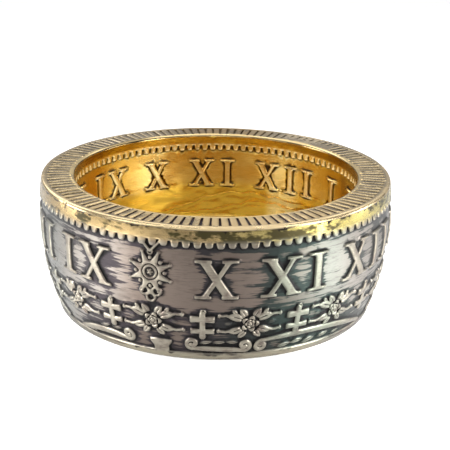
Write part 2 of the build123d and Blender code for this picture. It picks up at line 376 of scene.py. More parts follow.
def bow(x, y):
    """Three small open loops and a knot."""
    centres = ((-0.38, 0.02), (0.38, 0.02), (0, -0.40))
    loops = [np.abs(np.hypot(x - cx, y - cy) - 0.26) - 0.09 for cx, cy in centres]
    knot = np.hypot(x, y) - 0.17
    return np.maximum(0.8 * domed(np.min(loops, axis=0), 0.08), domed(knot, 0.12))


stamp(outside, on_wall, star, star_angle, star_z, 1.7, 1.7)
stamp(outside, on_wall, link, star_angle, star_z + star_r + 0.22, 1.1, 0.9)
stamp(outside, on_wall, bow, star_angle, star_z - 1.25, 1.0, 0.9)
print("star at", round(star_z, 2), "mm")

# %% [markdown]
# The chain. Twelve two-barred crosses and twelve rosettes take turns, 15 degrees apart. A
# rosette is a rose with two rings of five petals. Leaves and strands that end in knobs
# reach from it towards the crosses, the same on both sides, and a faint low leaf lies
# between them. All of it is worn, so the tops are nearly flat.

# %% Crosses and rosettes
REPEATS = 12
cross_angle = -93.5
rosette_angle = star_angle
chain_mid = chain_z + chain_h / 2


def cross(x, y):
    """A stem under two bars, with a small ring on its top."""
    stem = ribbon(x, y, [(0, 0.74), (0, 0.3), (0, -0.5), (0, -0.86)], [0.19, 0.17, 0.18, 0.21])
    upper = box(x, y - 0.36, 0.73, 0.21, 0.06) + 0.02 * np.cos(np.clip(x, -0.73, 0.73) * 4.4)
    lower = box(x, y + 0.48, 0.71, 0.17, 0.06) + 0.02 * np.cos(np.clip(x, -0.71, 0.71) * 4.5)
    ring = np.abs(np.hypot(x - 0.05, y - 0.86) - 0.14) - 0.06
    bars = struck(blend(stem, np.minimum(upper, lower), 0.04), 0.08)
    return np.maximum(bars, 0.8 * domed(ring, 0.07))


def leaf(x, y, start, end, width, bend=0.0):
    """Height of a pointed leaf with a groove along its middle: the overlap of two circles."""
    dx, dy = end[0] - start[0], end[1] - start[1]
    run = np.hypot(dx, dy)
    along = ((x - start[0]) * dx + (y - start[1]) * dy) / run
    across = ((y - start[1]) * dx - (x - start[0]) * dy) / run
    across = across - bend * np.sin(np.pi * np.clip(along / run, 0, 1))
    curve = (run * run / 4 + width * width) / (2 * width)
    d = np.hypot(along - run / 2, np.abs(across) + curve - width) - curve
    vein = 1 - (0.45 * np.exp(-(across / 0.035) ** 2)
                * smooth_step(along / 0.2) * smooth_step((run - along) / 0.3))
    return worn_dome(d) * vein


STRANDS = (
    # points of a strand to the right of the middle, and its half widths; a knob ends it
    ([(1.10, 0.50), (1.45, 0.63), (1.80, 0.61), (1.84, 0.61)], [0.12, 0.10, 0.10, 0.16]),
    ([(1.05, -0.43), (1.45, -0.52), (1.82, -0.46), (1.86, -0.46)], [0.12, 0.10, 0.10, 0.15]),
)
LEAVES = (
    # where a leaf starts and ends, its half width and its bend
    ((0.34, 0.24), (1.42, 0.62), 0.280, 0.07),
    ((0.36, -0.24), (1.34, -0.52), 0.260, -0.06),
    ((0.20, 0.36), (0.64, 1.06), 0.245, 0.04),
    ((0.22, -0.38), (0.70, -0.98), 0.215, -0.03),
    ((0.78, 0.62), (1.10, 1.04), 0.140, 0.0),
)


def rosette(x, y):
    """A rose of five petals in two rings, with leaves and strands mirrored to both sides."""
    side = np.abs(x)
    lift = np.zeros_like(x)
    for points, radii in STRANDS:
        lift = np.maximum(lift, 0.95 * worn_dome(ribbon(side, y, points, radii)))
    for start, end, width, bend in LEAVES:
        lift = np.maximum(lift, 0.95 * leaf(side, y, start, end, width, bend))
    low_leaf = np.hypot((side - 1.36) / 1.7, y - 0.06) - 0.15
    lift = np.maximum(lift, 0.50 * struck(low_leaf))
    middle = np.hypot(x, y)
    turn = np.arctan2(y, x)
    lift = np.where(middle < 0.62, np.minimum(lift, 0.10), lift)
    outer = struck(middle - 0.50 - 0.09 * np.cos(5 * turn), 0.09)
    outer *= 0.55 + 0.45 * np.abs(np.cos(2.5 * turn)) ** 0.4
    outer *= 1 - 0.55 * np.exp(-((middle - 0.345) / 0.035) ** 2)
    inner = struck(middle - 0.30 - 0.03 * np.cos(5 * turn + np.pi), 0.08)
    inner *= 0.60 + 0.40 * np.abs(np.cos(2.5 * turn + np.pi / 2)) ** 0.4
    inner *= 1 - 0.6 * np.exp(-((middle - 0.165) / 0.03) ** 2)
    return np.maximum(lift, np.where(middle < 0.33, inner, outer))


for k in range(REPEATS):
    turned = k * 360 // REPEATS
    stamp(outside, on_wall, cross, cross_angle + turned, chain_mid, 1.0, 1.25)
    stamp(outside, on_wall, rosette, rosette_angle + turned, chain_mid, 2.2, 1.3)
print("raised share of the outer sheet", round(float((outside > 0.5).mean()), 3))

# %% [markdown]
# The scroll border. Three kinds of long, bowed scrolls end in curls, with small leaves
# beside them and a plain plate in between, and the set is repeated three times round. A
# curl is a spiral whose radius shrinks as it turns, and a bar with its curls is one run of
# points, so it is one stroke without joints.

# %% Scrolls
SETS = 3


def curl(centre, start_angle, turns, r0, r1):
    """Points of a spiral inwards from a start direction in degrees."""
    t = np.linspace(0, 1, 22)
    a = np.radians(start_angle) + 2 * np.pi * turns * t
    r = r0 + (r1 - r0) * t
    return [(centre[0] + u, centre[1] + v) for u, v in zip(r * np.cos(a), r * np.sin(a))]


def bowed(left, middle, right):
    """Points of a bar through three places, as a parabola."""
    t = np.linspace(-1, 1, 19)
    y = middle[1] + t * (right[1] - left[1]) / 2 + t * t * ((right[1] + left[1]) / 2 - middle[1])
    return list(zip(np.linspace(left[0], right[0], 19), y))


def scroll(bar, left_curl, right_curl, width):
    """Formula of a bar with a curl at either end."""
    points = [*left_curl[::-1], *bar, *right_curl]
    radii = [
        *np.linspace(0.16, 0.14, len(left_curl)),
        *np.linspace(0.15, width, 5), *[width] * (len(bar) - 10), *np.linspace(width, 0.15, 5),
        *np.linspace(0.14, 0.16, len(right_curl)),
    ]

    def shape(x, y):
        return worn_dome(ribbon(x, y, points, radii))

    return shape


def with_leaves(shape, leaves):
    """A scroll with leaves beside it: the higher of the two."""
    def both(x, y):
        lift = shape(x, y)
        for start, end, width, bend in leaves:
            lift = np.maximum(lift, 0.8 * leaf(x, y, start, end, width, bend))
        return lift

    return both


LONG_LEAVES = (
    ((-2.95, 0.16), (-2.05, 0.34), 0.17, 0.03),
    ((-2.10, 0.30), (-1.15, 0.46), 0.17, 0.03),
    ((-1.25, 0.14), (-0.25, 0.40), 0.18, 0.03),
    ((-0.10, 0.26), (0.90, 0.46), 0.16, 0.03),
    ((1.10, 0.18), (2.00, 0.28), 0.12, 0.02),
)
MIDDLE_LEAVES = (
    ((-1.15, 0.74), (-0.35, 0.92), 0.14, 0.02),
    ((-0.40, 0.80), (0.45, 0.86), 0.13, 0.02),
    ((0.40, 0.88), (1.20, 0.80), 0.13, 0.02),
)
SHORT_LEAVES = (
    ((-1.70, -0.02), (-0.70, 0.14), 0.12, 0.02),
    ((0.70, 0.86), (1.50, 1.02), 0.12, 0.02),
    ((-0.30, 0.78), (0.60, 1.00), 0.13, 0.02),
)
short_scroll = scroll(
    bowed((-2.2, 0.12), (0, 0.50), (1.85, 0.36)), [],
    curl((1.92, 0.74), -85, 1.10, 0.40, 0.10), 0.21)
middle_scroll = scroll(
    bowed((-1.50, 0.34), (0, 0.33), (1.50, 0.20)),
    curl((-1.58, 0.72), -95, -1.10, 0.40, 0.10),
    curl((1.58, 0.58), -85, 1.10, 0.40, 0.10), 0.20)
long_scroll = scroll(
    bowed((-3.90, 0.86), (0, 0.97), (4.3, 0.12)),
    curl((-4.00, 0.46), 78, 1.20, 0.42, 0.10), [], 0.21)
SCROLLS = (
    # angle, half the reach, formula
    (-128.5, 2.9, with_leaves(short_scroll, SHORT_LEAVES)),
    (-88.5, 2.5, with_leaves(middle_scroll, MIDDLE_LEAVES)),
    (-53.5, 5.0, with_leaves(long_scroll, LONG_LEAVES)),
)


def plate(x, y):
    """A plain plate on the lip: a narrow foot that widens in a curve to a broad head."""
    half_w = 0.47 + 0.22 * smooth_step((y - 0.30) / 0.40)
    qx, qy = np.abs(x) - half_w, np.abs(y - 0.25) - 0.60
    return struck(np.maximum(qx, qy), 0.08)


for k in range(SETS):
    turned = k * 360 // SETS
    stamp(outside, on_wall, plate, -107 + turned, lip_h, 0.9, 1.1)
    for angle, reach, shape in SCROLLS:
        stamp(outside, on_wall, shape, angle + turned, lip_h, reach, 1.3)
print("scrolls", SETS * len(SCROLLS))

# %% [markdown]
# The teeth. Under each plain rim hangs a row of small teeth with round ends, left standing
# between dark slots that widen downwards. They repeat evenly, so one formula in the
# remainder of the angle gives them all, and only the slots' width and depth wander a
# little, as wear makes them. Each tooth reaches well up into the rim, and a small fillet
# joins the two.

# %% Teeth
OUTER_TEETH = 108
INNER_TEETH = 104
tooth_reach = 0.9


def wander(count, seed, amount):
    """One small repeatable number for each copy of a pattern."""
    return np.random.default_rng(seed).normal(0, amount, count)


def repeated(count):
    """For each column, which copy of a pattern it is in and how far across, from -0.5 to 0.5."""
    share = theta / (2 * np.pi) * count
    return np.floor(share).astype(int) % count, (share % 1) - 0.5


def teeth(sheet, rows, count, slot, flare, top, foot, seed):
    """Round-ended teeth down to a foot: boxes in the remainder of the angle, tapering downwards."""
    near = np.nonzero(rows & (row_z > foot - 0.25) & (row_z < top + 0.60))[0]
    index, offset = repeated(count)
    pitch = 2 * np.pi * row_r[near].mean() / count
    x = np.repeat(offset[None, :] * pitch, len(near), axis=0)
    middle = (top + tooth_reach + foot) / 2
    y = np.repeat((row_z[near] - middle)[:, None], COLUMNS, axis=1)
    ends = y + wander(count, seed, 0.014)[index]
    down = smooth_step((top - row_z[near]) / (top - foot))[:, None]
    half_w = pitch / 2 - slot - flare * down + wander(count, seed + 1, 0.010)[index]
    d = box(x, ends, half_w, (top + tooth_reach - foot) / 2, 0.15)
    band = top - middle - y
    sheet[near] = np.maximum(sheet[near], struck(blend(d, band, 0.05), 0.085))


teeth(outside, on_wall, OUTER_TEETH, 0.082, 0.060, tooth_top - 0.21, field_top - 0.02, 11)
teeth(inside, on_bore, INNER_TEETH, 0.074, 0.034, tooth_top - 0.12, field_top + 0.04, 21)
print("teeth", OUTER_TEETH, "outside and", INNER_TEETH, "inside")

# %% [markdown]
# The reeds. The coin's edge was milled with 120 grooves across it, which now run like the
# rays of a sun over the wide end. Each groove is a narrow trough that starts near the bore
# and widens at its outer foot. Wear has almost closed them on the inner side of one
# stretch at the back.

# %% Reeds
REEDS = 120
reed_depth = 0.12
reed_half = 0.056
on_face = row_out[:, 1] > 0.6
face_low = bore_r + 0.25
face_high = wall_r(height - reed_edge) - 0.40


def reeds():
    """Depth of the grooves as a share: narrow troughs that flare at their outer end."""
    near = np.nonzero(on_face & (row_z > height - 0.6))[0]
    index, offset = repeated(REEDS)
    r = row_r[near][:, None]
    x = offset[None, :] * (2 * np.pi * r / REEDS)
    flare = smooth_step((r - face_high + 0.30) / 0.30)
    half = reed_half * (1 + wander(REEDS, 31, 0.20)[index])[None, :]
    half = half + 0.010 * (r - face_low) + 0.045 * flare ** 2
    start = face_low + wander(REEDS, 32, 0.05)[index][None, :]
    stop = face_high + wander(REEDS, 33, 0.02)[index][None, :]
    across = smooth_step((half + 0.040 - np.abs(x)) / 0.070)
    along = smooth_step((r - start) / 0.10) * smooth_step((stop - r) / 0.06)
    turn = np.degrees(theta)[None, :]
    patch = smooth_step((turn - 33) / 4) * smooth_step((63 - turn) / 4)
    worn = 1 - 0.95 * patch * smooth_step((bore_r + 1.30 - r) / 0.35)
    return near, across * along * worn * (0.92 + wander(REEDS, 34, 0.07)[index])[None, :]


reed_rows, reed_share = reeds()
print("reeds on", len(reed_rows), "rows")

# %% [markdown]
# The metal isn't perfect. Folding left the wall very slightly uneven, years of wear dented
# the edges, and the stretched middle of the coin left soft folds inside. Smooth random
# sheets give the unevenness: white noise from a fixed seed, filtered so that only waves of
# a chosen length are left, which also makes it close up round the ring without a seam.

# %% Unevenness, folds and dents
NOISE_GRID = (240, 720)
noise_size = (21.0, 74.0)


def read_grid(grid, row, col):
    """Values of a grid that joins up both ways, between its points, by the four nearest ones."""
    rows, cols = grid.shape[:2]
    i, j = np.floor(row).astype(int), np.floor(col).astype(int)
    u, v = row - i, col - j
    i, j = i % rows, j % cols
    i2, j2 = (i + 1) % rows, (j + 1) % cols
    if grid.ndim == 3:
        u, v = u[:, None], v[:, None]
    near = grid[i, j] * (1 - v) + grid[i, j2] * v
    far = grid[i2, j] * (1 - v) + grid[i2, j2] * v
    return near * (1 - u) + far * u


def rough_sheet(wave_round, wave_up, seed):
    """Random sheet with waves of about the given lengths: noise times a Gaussian in frequency."""
    tall, wide = NOISE_GRID
    small = np.random.default_rng(seed).standard_normal(NOISE_GRID)
    fy = np.fft.fftfreq(tall, noise_size[0] / tall)[:, None]
    fx = np.fft.rfftfreq(wide, noise_size[1] / wide)[None, :]
    keep = np.exp(-0.5 * ((fx * wave_round) ** 2 + (fy * wave_up) ** 2))
    sheet = np.fft.irfft2(np.fft.rfft2(small) * keep, s=small.shape)
    sheet /= sheet.std()
    up = np.arange(ROWS) * tall / ROWS
    across = np.arange(COLUMNS) * wide / COLUMNS
    return read_grid(sheet, up[:, None], across[None, :])


FOLDS = (
    # heights of a fold at even angles from 115 down to 25 degrees, its width and its height
    ([3.00, 3.30, 3.90, 4.30, 4.40, 4.27, 4.15, 4.13, 4.30, 4.45], 0.11, 0.055),
    ([2.60, 2.70, 2.85, 3.15, 3.70, 3.80, 3.60, 3.75, 3.90, 4.00], 0.09, 0.040),
)


def folds():
    """Soft ridges inside: a bell curve across a wandering line."""
    lift = np.zeros((ROWS, COLUMNS))
    turn = np.degrees(theta)
    spots = np.linspace(25, 115, 10)
    for heights, width, tall in FOLDS:
        line = np.interp(turn, spots, heights[::-1])
        line += 0.05 * np.sin(theta * 31) + 0.03 * np.sin(theta * 53 + 1)
        fade = smooth_step((turn - 22) / 12) * smooth_step((122 - turn) / 14)
        gap = (row_z[:, None] - line[None, :]) / width
        ridge = np.exp(-gap ** 2) - 0.5 * np.exp(-((gap + 1.5) / 1.3) ** 2)
        lift += tall * ridge * fade[None, :] * on_bore[:, None]
    return lift


NICKS = (
    # angle in degrees, radius, height, size and depth of a dent in an edge
    (91.5, bore_r + 0.12, height - 0.10, 0.30, 0.10),
    (-143.0, belly_r - 0.16, height - 0.16, 0.34, 0.07),
    (-62.0, belly_r - 0.02, height - 0.35, 0.22, 0.03),
    (-118.0, belly_r - 0.02, height - 0.45, 0.18, 0.025),
    (-40.0, belly_r - 0.10, height - 0.20, 0.20, 0.035),
)


def nicks():
    """Small dents: bell curves about points of the section."""
    cut = np.zeros((ROWS, COLUMNS))
    for angle, r, z, size, depth in NICKS:
        turn = turn_from(angle)
        away = np.hypot(row_r - r, row_z - z)[:, None] ** 2 + ((turn * r) ** 2)[None, :]
        cut += depth * np.exp(-away / (size / 2) ** 2)
    return cut


uneven = 0.010 * rough_sheet(5.0, 3.0, 41) + 0.0025 * rough_sheet(0.9, 0.6, 42)
ripple = 0.010 * rough_sheet(2.2, 0.9, 43) * on_bore[:, None] * (row_z < 5.05)[:, None]
print("unevenness up to", round(float(np.abs(uneven).max()), 3), "mm")

# %% [markdown]
# All heights are added along the section's outward direction, and the grid becomes a closed
# mesh: a quad joins each point to its neighbours up and round, and the last row and column
# join the first.

# %% The fine skin
out_band = np.where(on_wall, np.clip(1 - (wall_r(row_z) - row_r) / relief, 0, 1), 0)[:, None]
in_band = np.where(on_bore, np.clip((bore_r + inner_relief - row_r) / inner_relief, 0, 1), 0)[:, None]


def displaced():
    """Points of the skin: section plus height times outward direction, turned about the axis."""
    calm = smooth_step((row_z - 0.08) / 0.5)
    calm = calm * (1 - 0.6 * smooth_step((row_z - height + 0.5) / 0.4))
    lift = relief * np.maximum(outside - out_band, 0) + inner_relief * np.maximum(inside - in_band, 0)
    lift += uneven * calm[:, None] + ripple + folds() - nicks()
    lift[reed_rows] -= reed_depth * reed_share
    r = row_r[:, None] + push[:, :1] * lift
    z = np.maximum(row_z[:, None] + push[:, 1:] * lift, 0)
    return np.stack([r * np.cos(theta), r * np.sin(theta), z], -1)


def grid_normals(points):
    """Outward directions: the cross product of the steps round and up."""
    along = np.roll(points, -1, 1) - np.roll(points, 1, 1)
    up = np.roll(points, -1, 0) - np.roll(points, 1, 0)
    normal = np.cross(along, up)
    return normal / np.linalg.norm(normal, axis=-1, keepdims=True)


def grid_mesh(name, points):
    """A closed quad mesh from a grid that joins up both ways."""
    rows, cols = points.shape[:2]
    i = np.arange(rows)[:, None]
    j = np.arange(cols)[None, :]
    i2, j2 = (i + 1) % rows, (j + 1) % cols
    quads = np.stack([i * cols + j, i * cols + j2, i2 * cols + j2, i2 * cols + j], -1).reshape(-1, 4)
    mesh = bpy.data.meshes.new(name)
    mesh.vertices.add(rows * cols)
    mesh.vertices.foreach_set("co", (points * MM).ravel().astype(np.float32))
    mesh.loops.add(quads.size)
    mesh.loops.foreach_set("vertex_index", quads.ravel().astype(np.int32))
    mesh.polygons.add(len(quads))
    mesh.polygons.foreach_set("loop_start", np.arange(0, quads.size, 4, dtype=np.int32))
    mesh.update(calc_edges=True)
    return mesh


points = displaced()
normals = grid_normals(points)
fine_mesh = grid_mesh("fine_skin", points)
print("fine skin", len(fine_mesh.polygons), "quads")

# %% [markdown]
# The fine skin has far more faces than its flat stretches need. Decimate joins faces where
# the surface is flat and keeps them where it bends, so the letters and teeth stay crisp.
# The light falls on a surface by its normals, so the thinned mesh takes its normals from
# the fine grid, read at each vertex by its angle and its place along the section.

# %% Thinning
TARGET = 196000


def thinned(mesh, target):
    """The mesh with its flat stretches joined, down to a number of triangles."""
    holder = bpy.data.objects.new("fine_skin", mesh)
    bpy.context.scene.collection.objects.link(holder)
    modifier = holder.modifiers.new("thin", "DECIMATE")
    modifier.ratio = target / (2 * len(mesh.polygons))
    modifier.use_collapse_triangulate = True
    shown = holder.evaluated_get(bpy.context.evaluated_depsgraph_get())
    result = bpy.data.meshes.new_from_object(shown)
    bpy.data.objects.remove(holder)
    bpy.data.meshes.remove(mesh)
    return result


ring_mesh = thinned(fine_mesh, TARGET)
ring_mesh.name = "coin_ring_metal"
print("thinned to", len(ring_mesh.polygons), "triangles")


# %% Places on the grid
def grid_places(mesh):
    """Row and column, as fractions, of each vertex: nearest point of the section, and angle."""
    co = np.zeros(len(mesh.vertices) * 3, np.float32)
    mesh.vertices.foreach_get("co", co)
    co = co.reshape(-1, 3) / MM
    r, z = np.hypot(co[:, 0], co[:, 1]), co[:, 2]
    row = np.zeros(len(r))
    for part in np.array_split(np.arange(len(r)), 40):
        away = (r[part, None] - row_r) ** 2 + (z[part, None] - row_z) ** 2
        near = away.argmin(1)
        slide = (r[part] - row_r[near]) * tangent[near, 0] + (z[part] - row_z[near]) * tangent[near, 1]
        row[part] = near + np.clip(slide / ROW_STEP, -0.5, 0.5)
    turn = np.arctan2(co[:, 1], co[:, 0]) % (2 * np.pi)
    return row % ROWS, turn / (2 * np.pi) * COLUMNS


rows_at, cols_at = grid_places(ring_mesh)
vertex_normals = read_grid(normals, rows_at, cols_at)
vertex_normals /= np.linalg.norm(vertex_normals, axis=1, keepdims=True)
ring_mesh.polygons.foreach_set("use_smooth", np.ones(len(ring_mesh.polygons), bool))
ring_mesh.normals_split_custom_set_from_vertices(vertex_normals.tolist())
print("normals set on", len(vertex_normals), "vertices")


# %% [markdown]
# A map of the skin for painting. The section's length is one direction and the angle the
# other. The long strip is cut into two halves of the circle, one above the other, so that
# it fills a square. A face across a cut keeps whole, a little past the edge of its half.

# %% The map
def lay_map(mesh, row, col):
    """Write the map OFBake: u is the angle within a half circle, v the place along the section."""
    count = len(mesh.loops)
    corner = np.zeros(count, np.int32)
    mesh.loops.foreach_get("vertex_index", corner)
    tri = corner.reshape(-1, 3)
    u = col[tri] / COLUMNS
    v = row[tri] / ROWS
    u = np.where(u - u.min(1, keepdims=True) > 0.5, u - 1, u)
    v = np.where(v - v.min(1, keepdims=True) > 0.5, v - 1, v)
    middle = u.mean(1, keepdims=True) % 1
    u = u + np.round(middle - u.mean(1, keepdims=True))
    half = (middle >= 0.5)
    across = 0.02 + 0.96 * (u - 0.5 * half) * 2
    up = 0.01 + 0.48 * np.clip(v + 0.01, 0, 1.02) / 1.02 + 0.5 * half
    layer = mesh.uv_layers.new(name="OFBake")
    layer.data.foreach_set("uv", np.stack([across, up], -1).astype(np.float32).ravel())


lay_map(ring_mesh, rows_at, cols_at)

# %% [markdown]
# What wear and tarnish see. A polishing cloth reaches the tops and the open field, and
# tarnish stays near the ornament and in its corners. Both follow from the height map:
# blurred widely it tells how close a spot is to raised work, and the difference between
# a small blur and the height itself is positive in a corner and negative on an edge. A
# list of soft spots adds what the map can't know, where more or less tarnish was left.

# %% Closeness and corners
mean_r = 10.6
chain_soil = 0.095
strip_soil = 0.14


def softened(grid, reach):
    """Grid blurred over a reach in millimetres, by a Gaussian in frequency."""
    up = np.fft.fftfreq(ROWS, ROW_STEP)[:, None]
    across = np.fft.rfftfreq(COLUMNS, 2 * np.pi * mean_r / COLUMNS)[None, :]
    keep = np.exp(-2 * (np.pi * reach) ** 2 * (up ** 2 + across ** 2))
    return np.fft.irfft2(np.fft.rfft2(grid) * keep, s=grid.shape)


def raised_share():
    """Height over the field as a share: bands of the section, ornament, and reeds below zero."""
    share = np.maximum(np.maximum(out_band, in_band), np.maximum(outside, inside))
    share[reed_rows] = -reed_share
    return share


SOILED = (
    # angle in degrees, height, reach round, reach up in mm, and how strong
    (-121.0, legend_z + 1.3, 1.6, 1.6, 0.10),
    (-131.5, legend_z + 1.2, 1.3, 1.5, 0.09),
    (-72.0, legend_z + 1.6, 1.8, 1.8, 0.16),
    (-60.0, legend_z + 0.4, 2.0, 0.8, 0.10),
    (-100.0, legend_z + 1.4, 2.2, 1.1, -0.12),
    (-142.0, legend_z + 1.5, 2.4, 1.4, -0.10),
    (-45.0, legend_z + 1.5, 2.4, 1.4, -0.08),
    (-124.0, legend_z - 0.35, 1.6, 0.50, -0.14),
    (-61.0, legend_z - 0.35, 1.8, 0.50, -0.16),
    (-142.0, legend_z - 0.35, 1.8, 0.50, -0.16),
    (-40.0, legend_z - 0.35, 1.8, 0.50, -0.16),
    (-122.0, field_top - 0.30, 1.8, 0.55, -0.24),
    (-48.0, field_top - 0.30, 2.4, 0.55, -0.14),
    (-84.0, field_top - 0.30, 2.0, 0.50, -0.12),
)


def soiled():
    """Where tarnish gathers besides: the chain, the strip under the teeth, and the spots."""
    amount = chain_soil * smooth_step((chain_z + chain_h + 0.40 - row_z) / 0.4) * on_wall
    amount = amount + strip_soil * smooth_step((row_z - field_top + 0.55) / 0.4) * on_wall
    amount = np.repeat(amount[:, None], COLUMNS, axis=1)
    for angle, z, wide, tall, much in SOILED:
        away = (turn_from(angle) * belly_r / wide)[None, :] ** 2 + ((row_z - z) / tall)[:, None] ** 2
        amount += much * np.exp(-away) * on_wall[:, None]
    return amount


share = raised_share()
close = softened(share, 0.28) + soiled()
corner = softened(share, 0.09) - share
for name, grid in (("close", close), ("corner", corner), ("share", share)):
    values = read_grid(grid, rows_at, cols_at).astype(np.float32)
    ring_mesh.attributes.new(name, "FLOAT", "POINT").data.foreach_set("value", values)
print("corner from", round(float(corner.min()), 2), "to", round(float(corner.max()), 2))

# %% [markdown]
# The finish. Old silver is bright where it is rubbed and dark in its hollows, and this ring
# was toned gold inside and on the rim. Three things decide the colour of a spot: how close
# it is to raised work, where it is on the ring, and soft noise for stains and brush marks.
# A few helpers keep the node tree short. They add to the tree that is named tree just then.

# %% Material helpers
material = bpy.data.materials.new("worn_silver")
material.use_nodes = True
tree = material.node_tree
tree.nodes.clear()


def node(kind, **settings):
    """A new node with some of its settings."""
    made = tree.nodes.new(kind)
    for key, value in settings.items():
        setattr(made, key, value)
    return made


def join(value, socket):
    """Link an output, or set a number or colour, on an input."""
    if isinstance(value, bpy.types.NodeSocket):
        tree.links.new(value, socket)
    elif isinstance(value, tuple):
        socket.default_value = (*value, 1)
    else:
        socket.default_value = value


def sums(operation, a, b=0.0):
    """One step of arithmetic."""
    made = node("ShaderNodeMath", operation=operation)
    join(a, made.inputs[0])
    join(b, made.inputs[1])
    return made.outputs[0]


def plus(a, b):
    """The sum of two values."""
    return sums("ADD", a, b)


def times(a, b):
    """The product of two values."""
    return sums("MULTIPLY", a, b)


def ramp(value, start, end, least=0.0, most=1.0, kind="LINEAR"):
    """From least at start to most at end, and level past both."""
    made = node("ShaderNodeMapRange", interpolation_type=kind)
    join(value, made.inputs["Value"])
    for name, (at, amount) in zip(("Min", "Max"), sorted(((start, least), (end, most)))):
        made.inputs["From " + name].default_value = at
        made.inputs["To " + name].default_value = amount
    return made.outputs["Result"]


def fade(value, start, end):
    """0 at start and 1 at end, eased."""
    return ramp(value, start, end, kind="SMOOTHSTEP")


def mix_node(first, share, a, b, **settings):
    """A node that mixes two values by a share; the first of its two sockets is given."""
    made = node("ShaderNodeMix", **settings)
    for value, socket in ((share, 0), (a, first), (b, first + 1)):
        join(value, made.inputs[socket])
    return made


def mixed(share, a, b):
    """A colour between two, by a share."""
    return mix_node(6, share, a, b, data_type="RGBA").outputs[2]


def tinted(share, colour, tint):
    """A colour multiplied by a tint, by a share."""
    made = mix_node(6, share, colour, tint, data_type="RGBA", blend_type="MULTIPLY")
    return made.outputs[2]


def level_of(share, a, b):
    """A number between two, by a share."""
    return mix_node(2, share, a, b, data_type="FLOAT").outputs[0]


def layered(colour, *layers):
    """A colour with others laid over it in turn, each by its share."""
    for share, over in layers:
        colour = mixed(share, colour, over)
    return colour


def between(value, start, full, still, end):
    """0 up to start, 1 from full to still, and 0 again from end on."""
    return times(fade(value, start, full), fade(value, end, still))


def noise(stretch, scale, detail=3.0, rough=0.5):
    """Cloudy noise about zero, on Object coordinates stretched by a scale on each axis."""
    mapping = node("ShaderNodeMapping")
    join(place, mapping.inputs["Vector"])
    mapping.inputs["Scale"].default_value = stretch
    made = node("ShaderNodeTexNoise")
    join(mapping.outputs["Vector"], made.inputs["Vector"])
    for name, value in (("Scale", scale), ("Detail", detail), ("Roughness", rough)):
        made.inputs[name].default_value = value
    return plus(made.outputs["Fac"], -0.5)


def attribute(name):
    """A value kept at the mesh's points."""
    return node("ShaderNodeAttribute", attribute_name=name).outputs["Fac"]


place = node("ShaderNodeTexCoord").outputs["Object"]
parts = node("ShaderNodeSeparateXYZ")
join(place, parts.inputs[0])
east, north, level = [times(parts.outputs[k], 1000.0) for k in range(3)]
radius = sums("SQRT", plus(times(east, east), times(north, north)))
off_middle = sums("ABSOLUTE", east)

# %% [markdown]
# Where on the ring. The radius alone tells the bore from the outside, because the wall is
# thick enough, and the height picks out the face, the rim band and the foot lip. East and
# north are the two directions along the floor, in millimetres from the axis. They tell the
# sides of the ring from its front and back, which were toned and rubbed differently.

# %% Zones
edge_low = height - 0.20
edge_high = height - 0.12
in_bore = times(fade(radius, bore_r + 0.42, bore_r + 0.18), fade(level, height - 0.03, height - 0.13))
on_top = fade(level, height - 0.24, edge_high)
on_rim = fade(level, field_top + 0.10, tooth_top + 0.05)
on_lip = fade(level, lip_h + 0.05, lip_h - 0.25)
raised = fade(attribute("share"), 0.35, 0.75)
corners = fade(attribute("corner"), 0.05, 0.24)

# %% Brush marks, stains and specks
brushed = noise((1, 1, 13), 380.0, 4.0, 0.62)
fine_brushed = noise((1, 1, 16), 1500.0, 2.0, 0.6)
cloud = noise((1, 1, 1), 170.0, 3.0, 0.55)
speck = noise((1, 1, 1), 1500.0, 2.0, 0.6)
blots = noise((1, 1, 2.2), 620.0, 3.0, 0.65)


def drifted(axis, amount):
    """A place along an axis, pushed about by the clouds, so that no border runs straight."""
    return plus(axis, times(cloud, amount))


# %% [markdown]
# The outside. Tarnish spreads from the ornament as far as closeness and noise say, plum at
# the left and greenish at the right. It is deepest in the corners, and the raised tops stay
# silver. Towards both sides of the ring the clean metal is painted lighter as a painted
# highlight, and near the far sides the tarnish and the corner lines are painted lighter as a
# painted reflection.

# %% Colours of the outside
TOP_SILVER = (0.285, 0.255, 0.200)
CHAIN_SILVER = (0.340, 0.308, 0.246)
RUBBED = (0.158, 0.123, 0.101)
SCUFFED = (0.110, 0.083, 0.068)
SIDE_SHEEN_SILVER = (0.270, 0.245, 0.215)
SIDE_SHEEN_SCUFFED = (0.130, 0.112, 0.098)
TARNISH_PLUM = (0.036, 0.028, 0.032)
TARNISH_GREEN = (0.028, 0.039, 0.034)
LINE = (0.004, 0.003, 0.003)
FAR_SHEEN_TARNISH = (0.082, 0.079, 0.075)
FAR_SHEEN_LINE = (0.036, 0.035, 0.033)
GREEN_TINT = (0.84, 0.98, 0.97)
COOL_TINT = (0.90, 0.97, 1.00)
tarnish = mixed(fade(drifted(east, 6.0), -2.0, 5.0), TARNISH_PLUM, TARNISH_GREEN)
clouding = plus(times(cloud, 0.70), times(blots, 0.30))
spread = plus(attribute("close"), plus(times(brushed, 1.10), clouding))
tarnished = fade(spread, 0.12, 0.24)
deep = fade(spread, 0.30, 0.75)
marks = plus(times(brushed, 0.7), times(speck, 0.3))
scuffs = fade(plus(times(fine_brushed, 0.9), marks), -0.02, 0.26)
